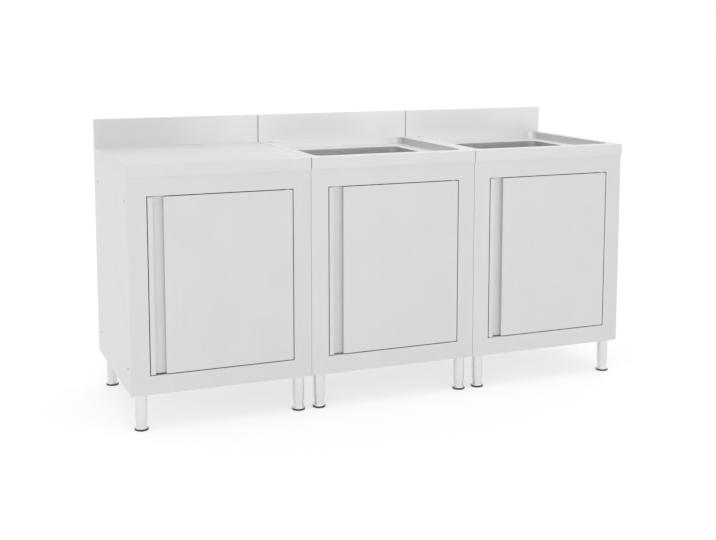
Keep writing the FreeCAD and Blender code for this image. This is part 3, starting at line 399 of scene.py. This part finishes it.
def piece(name, mesh, body, slot, node, *names, smooth=35.0):
    """Close a mesh into a finished piece that rides on a body and stands for a node."""
    bmesh.ops.remove_doubles(mesh, verts=mesh.verts, dist=TOUCH)
    bmesh.ops.recalc_face_normals(mesh, faces=mesh.faces)
    for face in mesh.faces:
        face.smooth = True
    for edge in mesh.edges:
        if len(edge.link_faces) == 2 and edge.calc_face_angle(0.0) > math.radians(smooth):
            edge.smooth = False
    data = bpy.data.meshes.new(name)
    mesh.to_mesh(data)
    mesh.free()
    made = bpy.data.objects.new(name, data)
    bpy.context.scene.collection.objects.link(made)
    for finish in names:
        data.materials.append(material(finish))
    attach(made, body)
    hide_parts(node)
    return made


# --------------------------------------------------------------- operators

class KITCHENROW_OT_worktops(bpy.types.Operator):
    """Finish the folded worktops with their splashbacks, and the stiffeners under the flat one"""

    bl_idname = "kitchen_row.worktops"
    bl_label = "Worktops"

    def execute(self, context):
        dress("brushed stainless, grain along the row", *(f"{unit}_worktop" for unit in UNITS))
        dress("brushed stainless, grain along the row", "worktop_stiffeners")
        return {"FINISHED"}


class KITCHENROW_OT_cabinets(bpy.types.Operator):
    """Finish the cabinets: face frames, sides, backs, floors and the shelf"""

    bl_idname = "kitchen_row.cabinets"
    bl_label = "Cabinets"

    def execute(self, context):
        for unit in UNITS:
            dress("brushed stainless, upright grain",
                  *(f"{unit}_{part}" for part in ("face_frame", "left_side", "right_side", "back_panel")))
            dress("brushed stainless, grain along the row", f"{unit}_base_panel")
        dress("brushed stainless, grain along the row", "left_shelf")
        return {"FINISHED"}


class KITCHENROW_OT_doors(bpy.types.Operator):
    """Finish the doors: outer sheet with its pull groove, inner sheet, strike plate and bushes"""

    bl_idname = "kitchen_row.doors"
    bl_label = "Doors"

    def execute(self, context):
        for unit in UNITS:
            dress("brushed stainless, upright grain",
                  *(f"{unit}_door_{part}" for part in ("skin", "liner", "strike")))
            dress("natural nylon", f"{unit}_door_bushes")
        return {"FINISHED"}


class KITCHENROW_OT_sinks(bpy.types.Operator):
    """Finish the bowls with their wastes, gaskets, nuts and lift-out strainers"""

    bl_idname = "kitchen_row.sinks"
    bl_label = "Sinks"

    def execute(self, context):
        for unit in SINKS:
            dress("satin stainless bowl", f"{unit}_sink_bowl")
            dress("polished stainless waste", f"{unit}_basket_waste", f"{unit}_strainer")
        dress("black rubber", "waste_gaskets")
        dress("black polypropylene", "waste_nuts")
        return {"FINISHED"}


class KITCHENROW_OT_fittings(bpy.types.Operator):
    """Finish the hinges, catches, shelf studs and the bolts through the seams"""

    bl_idname = "kitchen_row.fittings"
    bl_label = "Hinges, catches and bolts"

    def execute(self, context):
        dress("bright zinc plated steel", "hinge_brackets", "hinge_pins", "shelf_studs", "joining_bolts",
              "leg_inserts")
        dress("white acetal", "door_catches")
        return {"FINISHED"}


class KITCHENROW_OT_legs(bpy.types.Operator):
    """Finish the welded leg tubes and turn the screw feet: a flared steel sleeve over a nylon base"""

    bl_idname = "kitchen_row.legs"
    bl_label = "Legs and screw feet"

    def execute(self, context):
        size = context.scene.kitchen_row_foot
        dress("satin stainless tube", "leg_tubes")
        for node in sorted(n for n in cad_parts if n.endswith("_foot")):
            low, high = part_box(node)
            centre = Vector(((low.x + high.x) / 2, (low.y + high.y) / 2, 0))
            self.sleeve(size, node, centre)
            self.base(size, node, centre)
        return {"FINISHED"}

    def sleeve(self, size, node, centre):
        """Drawn sleeve: straight inside the leg, flared like a bell over the base."""
        foot, flare, reach = size.base_height, size.flare_height, size.flare_radius - size.sleeve_radius
        bore = size.sleeve_radius - size.sleeve_wall
        bell = [(size.sleeve_radius + reach * (1 - math.sin(turn)),
                 foot + max(flare * (1 - math.cos(turn)), size.lip_height))
                for turn in (math.radians(a) for a in (0, 20, 40, 60, 75, 90))]
        edge, top = size.edge_chamfer, size.sleeve_top
        profile = [(bore, foot), (size.flare_radius, foot), *bell, (size.sleeve_radius, top - edge),
                   (size.sleeve_radius - edge, top), (bore, top)]
        mesh = bmesh.new()
        lathe(mesh, profile, centre)
        piece(f"{node}_sleeve", mesh, node, "stainless_foot", node, "satin stainless tube")

    def base(self, size, node, centre):
        """Moulded base with a rounded rim and a shallow hollow underneath, on its threaded stem."""
        r, h, rim, hollow = size.base_radius, size.base_height, size.rim_radius, size.hollow_depth
        arc = [(r - rim + rim * math.sin(a), rim - rim * math.cos(a)) for a in
               (math.radians(d) for d in (0, 30, 60, 90))]
        top = [(x, h - y) for x, y in reversed(arc)]
        profile = [(0, hollow), (r * size.hollow_inner, hollow), (r * size.hollow_outer, 0),
                   *arc, *top, (0, h)]
        mesh = bmesh.new()
        lathe(mesh, profile, centre, closed=False)
        stem, end, chamfer = size.stem_radius, size.stem_top, size.stem_chamfer
        rod = [(0, h), (stem, h), (stem, end - chamfer), (stem - chamfer, end), (0, end)]
        before = set(mesh.faces)
        lathe(mesh, rod, centre, steps=24, closed=False)
        for face in mesh.faces:
            face.material_index = 0 if face in before else 1
        piece(f"{node}_base", mesh, node, "stainless_foot", node, "black nylon", "bright zinc plated steel")


class KITCHENROW_OT_side_screws(bpy.types.Operator):
    """Model the pan-head screws in the row's outer sides, each with its cross recess"""

    bl_idname = "kitchen_row.side_screws"
    bl_label = "Side screws"

    def execute(self, context):
        size = context.scene.kitchen_row_screw
        low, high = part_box("side_screws")
        # The points of the heads' outer faces, sorted into one ring for each screw.
        places = sorted({(round(v.co.x, 5), round(v.co.y, 4), round(v.co.z, 4))
                         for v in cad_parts["side_screws"].data.vertices
                         if min(abs(v.co.x - low.x), abs(v.co.x - high.x)) < 0.01 * MM})
        rings = []
        for place in places:
            ring = next((r for r in rings if math.dist(r[0], place) < SCREW_REACH), None)
            if ring:
                ring.append(place)
            else:
                rings.append([place])
        mesh = bmesh.new()
        for ring in rings:
            x = ring[0][0]
            y, z = ((min(values) + max(values)) / 2 for values in list(zip(*ring))[1:])
            self.screw(mesh, size, Vector((x, y, z)), 1 if x > 0 else -1)
        piece("side_screws_pan_head", mesh, "cabinet_row", "bright_fastener", "side_screws",
              "bright zinc plated steel")
        return {"FINISHED"}

    def screw(self, mesh, size, top, way):
        """One screw; top is the middle of its head's outer face and way the side that it faces."""
        r, h, shank, chamfer = size.head_radius, size.head_height, size.shank_radius, size.shank_chamfer
        crown, end = r * size.crown, -h - size.shank_length
        profile = [(crown, 0)]
        profile += [(crown + (r - crown) * math.sin(a), -h * size.shoulder * (1 - math.cos(a)))
                    for a in (math.radians(d) for d in (25, 45, 65, 90))]
        profile += [(r, -h), (shank, -h), (shank, end + chamfer), (shank - chamfer, end), (0, end)]
        lathe(mesh, profile, top, axis=(way, 0, 0), side=(0, 1, 0), steps=24, closed=False)
        mesh.verts.ensure_lookup_table()
        bmesh.ops.remove_doubles(mesh, verts=mesh.verts, dist=TOUCH)
        rim = [e for e in mesh.edges if e.is_boundary and (e.verts[0].co - top).length < r]
        crown_face = bmesh.ops.contextual_create(mesh, geom=rim)["faces"]
        # The flat top is sliced along the edges of the cross, and the cross's arms are sunk.
        parts = crown_face + rim + list({v for e in rim for v in e.verts})
        for direction in (Vector((0, 1, 0)), Vector((0, 0, 1))):
            for offset in (-size.cross_reach, -size.cross_width / 2, size.cross_width / 2, size.cross_reach):
                cut = bmesh.ops.bisect_plane(mesh, geom=parts, plane_co=top + direction * offset,
                                             plane_no=direction)
                parts = cut["geom"]
        arms = []
        for face in (g for g in parts if isinstance(g, bmesh.types.BMFace)):
            spot = face.calc_center_median() - top
            y, z = abs(spot.y), abs(spot.z)
            if min(y, z) < size.cross_width / 2 and max(y, z) < size.cross_reach:
                arms.append(face)
        sunk = bmesh.ops.extrude_face_region(mesh, geom=arms)["geom"]
        verts = [g for g in sunk if isinstance(g, bmesh.types.BMVert)]
        bmesh.ops.delete(mesh, geom=arms, context="FACES_ONLY")
        bmesh.ops.scale(mesh, vec=(1, size.cross_taper, size.cross_taper), verts=verts,
                        space=Matrix.Translation(-top))
        bmesh.ops.translate(mesh, vec=(-way * h * size.cross_depth, 0, 0), verts=verts)


class KITCHENROW_OT_stage(bpy.types.Operator):
    """Set up the pale floor, the white surround, the softbox and the camera"""

    bl_idname = "kitchen_row.stage"
    bl_label = "Studio"

    def execute(self, context):
        studio = context.scene.kitchen_row_studio
        self.floor(studio.floor_glow)
        self.light(context, studio)
        self.camera(context, studio)
        return {"FINISHED"}

    def floor(self, glow):
        mesh = bmesh.new()
        bmesh.ops.create_grid(mesh, x_segments=4, y_segments=4, size=40)
        data = bpy.data.meshes.new("studio_floor")
        mesh.to_mesh(data)
        mesh.free()
        made = bpy.data.objects.new("studio_floor", data)
        bpy.context.scene.collection.objects.link(made)
        pale, tree, shader, coords = blank("pale studio floor")
        shader.inputs["Base Color"].default_value = (*linear("#B3B3B3"), 1)
        shader.inputs["Roughness"].default_value = 0.9
        shader.inputs["Emission Color"].default_value = (1, 1, 1, 1)
        shader.inputs["Emission Strength"].default_value = glow
        data.materials.append(pale)

    def light(self, context, studio):
        world = bpy.data.worlds.new("white surround")
        world.use_nodes = True
        world.node_tree.nodes.clear()
        back = add(world.node_tree, "ShaderNodeBackground", {"Color": (1, 1, 1, 1), "Strength": studio.sky})
        add(world.node_tree, "ShaderNodeOutputWorld", {"Surface": back.outputs[0]})
        context.scene.world = world
        for name, power, place, target, size in SOFTBOXES:
            lamp = bpy.data.lights.new(name, "AREA")
            lamp.shape, lamp.energy = "RECTANGLE", getattr(studio, power)
            lamp.size, lamp.size_y = size
            made = bpy.data.objects.new(name, lamp)
            made.location = place
            made.rotation_euler = (Vector(target) - made.location).to_track_quat("-Z", "Y").to_euler()
            made.visible_camera = False
            context.scene.collection.objects.link(made)
        context.scene.view_settings.view_transform = "Standard"
        context.scene.view_settings.look = "None"

    def camera(self, context, studio):
        data = bpy.data.cameras.new("camera")
        data.sensor_width, data.lens = 36, studio.camera_lens
        data.shift_y = studio.camera_shift
        data.clip_start, data.clip_end = 0.1, 200
        made = bpy.data.objects.new("camera", data)
        made.location = studio.camera_place
        made.rotation_euler = (math.pi / 2 - studio.camera_pitch, 0, -studio.camera_yaw)
        context.scene.collection.objects.link(made)
        context.scene.camera = made


class KITCHENROW_PT_panel(bpy.types.Panel):
    """Sizes, finishes and pieces of the kitchen row"""

    bl_idname = "KITCHENROW_PT_panel"
    bl_label = "Kitchen row"
    bl_space_type = "VIEW_3D"
    bl_region_type = "UI"
    bl_category = "Kitchen row"

    def draw(self, context):
        for group in GROUPS:
            settings = getattr(context.scene, group)
            box = self.layout.box()
            for prop in settings.bl_rna.properties:
                if prop.identifier not in {"rna_type", "name"}:
                    box.prop(settings, prop.identifier)
        for operator in OPERATORS:
            self.layout.operator(operator.bl_idname)


GROUPS = {
    "kitchen_row_finish": KitchenRowFinish,
    "kitchen_row_foot": KitchenRowFoot,
    "kitchen_row_screw": KitchenRowScrew,
    "kitchen_row_studio": KitchenRowStudio,
}
OPERATORS = (
    KITCHENROW_OT_worktops,
    KITCHENROW_OT_cabinets,
    KITCHENROW_OT_doors,
    KITCHENROW_OT_sinks,
    KITCHENROW_OT_fittings,
    KITCHENROW_OT_legs,
    KITCHENROW_OT_side_screws,
    KITCHENROW_OT_stage,
)


def register():
    for kind in (*GROUPS.values(), *OPERATORS, KITCHENROW_PT_panel):
        bpy.utils.register_class(kind)
    for name, kind in GROUPS.items():
        setattr(bpy.types.Scene, name, PointerProperty(type=kind))


def unregister():
    for name in GROUPS:
        delattr(bpy.types.Scene, name)
    for kind in reversed((*GROUPS.values(), *OPERATORS, KITCHENROW_PT_panel)):
        bpy.utils.unregister_class(kind)


def main():
    register()
    bpy.ops.kitchen_row.worktops()
    bpy.ops.kitchen_row.cabinets()
    bpy.ops.kitchen_row.doors()
    bpy.ops.kitchen_row.sinks()
    bpy.ops.kitchen_row.fittings()
    bpy.ops.kitchen_row.legs()
    bpy.ops.kitchen_row.side_screws()
    bpy.ops.kitchen_row.stage()


if __name__ == "__main__":
    main()
